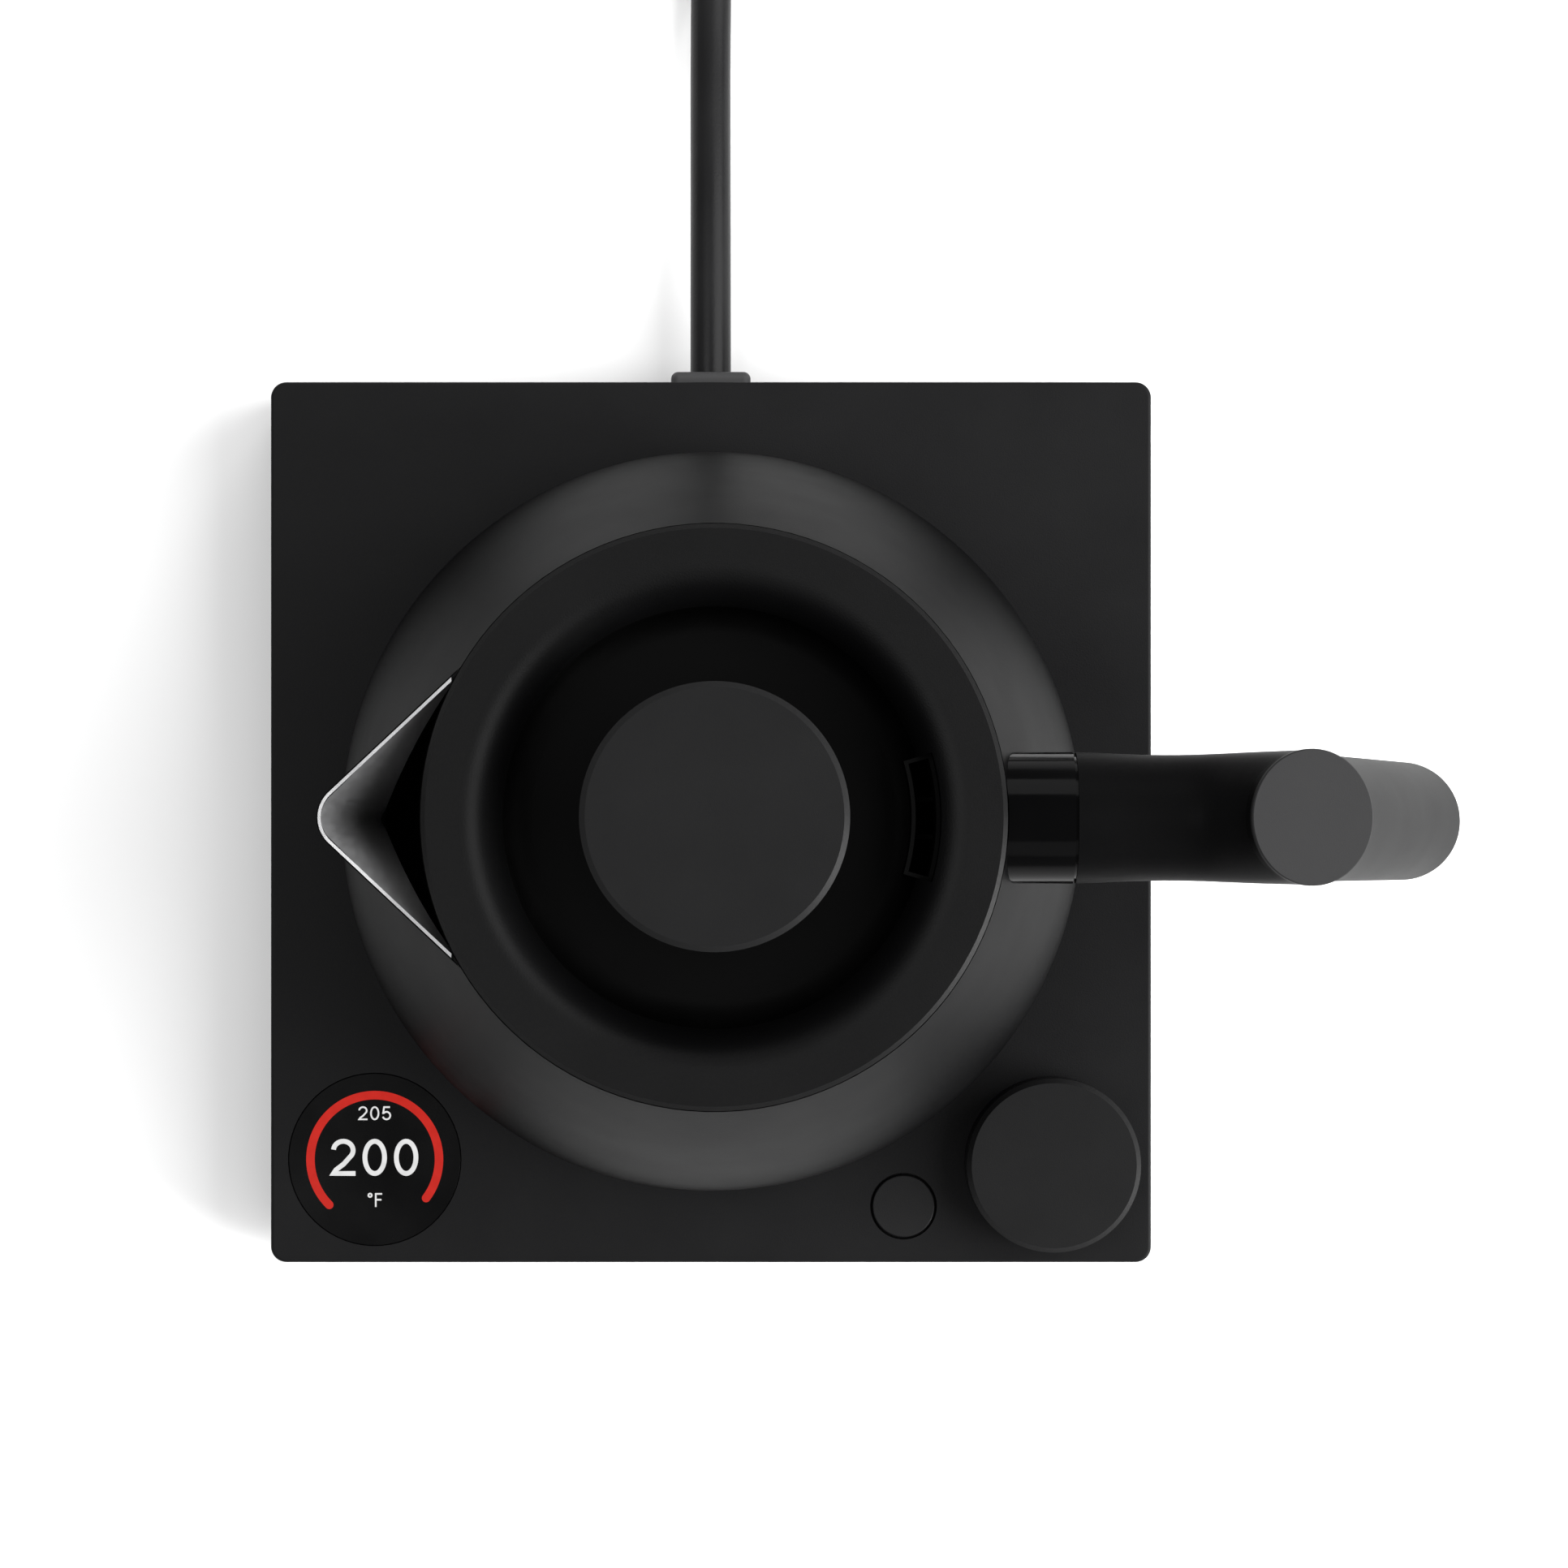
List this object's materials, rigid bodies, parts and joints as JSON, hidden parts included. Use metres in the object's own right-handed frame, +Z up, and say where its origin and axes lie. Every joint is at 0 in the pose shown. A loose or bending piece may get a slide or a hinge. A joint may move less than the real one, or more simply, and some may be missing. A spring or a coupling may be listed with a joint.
{
  "type": "electric kettle",
  "caption": "Electric kettle with a V-shaped pouring spout and side handle, lifting off a square base with a dial, button and round display.",
  "frame": {"origin": "centre of the base's footprint, on the surface it stands on", "axes": "+Z up, +X from the kettle's axis towards its handle, -Y the front with the display and dial, +Y the back where the cord leaves"},
  "size_m": [0.2797, 0.3626, 0.182],
  "materials": {
    "black_coat": "matte powder coat",
    "black_plastic": "fine matte",
    "gloss_black": "black polished plating",
    "steel": "satin",
    "zinc": "zinc plated",
    "brass": "plain",
    "aluminium": "cast",
    "silicone": "matte",
    "window": "smooth dark tinted",
    "circuit": "solder mask",
    "component": "moulded",
    "wire": "insulated",
    "cord_jacket": "smooth"
  },
  "bodies": {
    "base": {"base_top_cover": "black_coat", "base_bottom_cover": "black_plastic", "foot_ring": "silicone", "base_screws": "zinc", "display_window": "window", "display_module": "component", "main_board": "circuit", "power_supply": "component", "power_relay": "component", "buzzer": "component", "terminal_block": "component", "control_board": "circuit", "tact_switch": "component", "encoder_body": "zinc", "encoder_nut": "zinc", "press_dome": "steel", "base_connector": "black_plastic", "base_contacts": "brass", "cord_grommet": "silicone", "cord_clamp": "black_plastic", "cord_clamp_screws": "zinc", "mains_wires": "wire", "ribbon_cable": "wire", "power_cord": "cord_jacket", "power_cord_end": "cord_jacket", "cord_coil": "cord_jacket", "plug_body": "cord_jacket", "plug_blades": "brass", "plug_earth_pin": "brass"},
    "encoder_rotor": {"encoder_rotor": "brass"},
    "dial": {"dial_shaft": "steel", "dial_cap": "black_plastic"},
    "button": {"button_cap": "black_plastic"},
    "kettle_connector": {"kettle_connector": "black_plastic", "kettle_contacts": "brass"},
    "kettle": {"kettle_body": "black_coat", "kettle_floor": "steel", "heater_plate": "aluminium", "heater_element": "steel", "thermostat": "component", "temperature_probe": "steel", "kettle_bottom_cover": "black_plastic", "kettle_cover_screws": "zinc", "handle_bracket": "gloss_black", "handle_core": "steel", "handle_shell": "black_plastic", "handle_end_cap": "black_plastic", "handle_screws": "zinc"},
    "lid": {"lid_shell": "black_coat", "lid_underplate": "steel", "lid_seal": "silicone", "lid_vent": "black_plastic", "lid_knob": "black_plastic", "lid_knob_screw": "zinc"}
  },
  "joints": [
    {"name": "dial_turn", "type": "hinge", "parent": "base", "child": "encoder_rotor", "pos_m": [0.0661, -0.0663, 0.015], "axis": [0, 0, 1], "continuous": true},
    {"name": "dial_press", "type": "slide", "parent": "encoder_rotor", "child": "dial", "axis": [0, 0, -1], "range_m": [0, 0.0005], "stiffness_N_per_m": 5000},
    {"name": "button_press", "type": "slide", "parent": "base", "child": "button", "axis": [0, 0, -1], "range_m": [0, 0.0005], "stiffness_N_per_m": 2500},
    {"name": "kettle_lift", "type": "slide", "parent": "base", "child": "kettle_connector", "axis": [0, 0, 1], "range_m": [0, 0.15]},
    {"name": "kettle_swivel", "type": "hinge", "parent": "kettle_connector", "child": "kettle", "pos_m": [0, 0, 0.0386], "axis": [0, 0, 1], "continuous": true},
    {"name": "lid_lift", "type": "slide", "parent": "kettle", "child": "lid", "axis": [0, 0, 1], "range_m": [0, 0.08]}
  ]
}
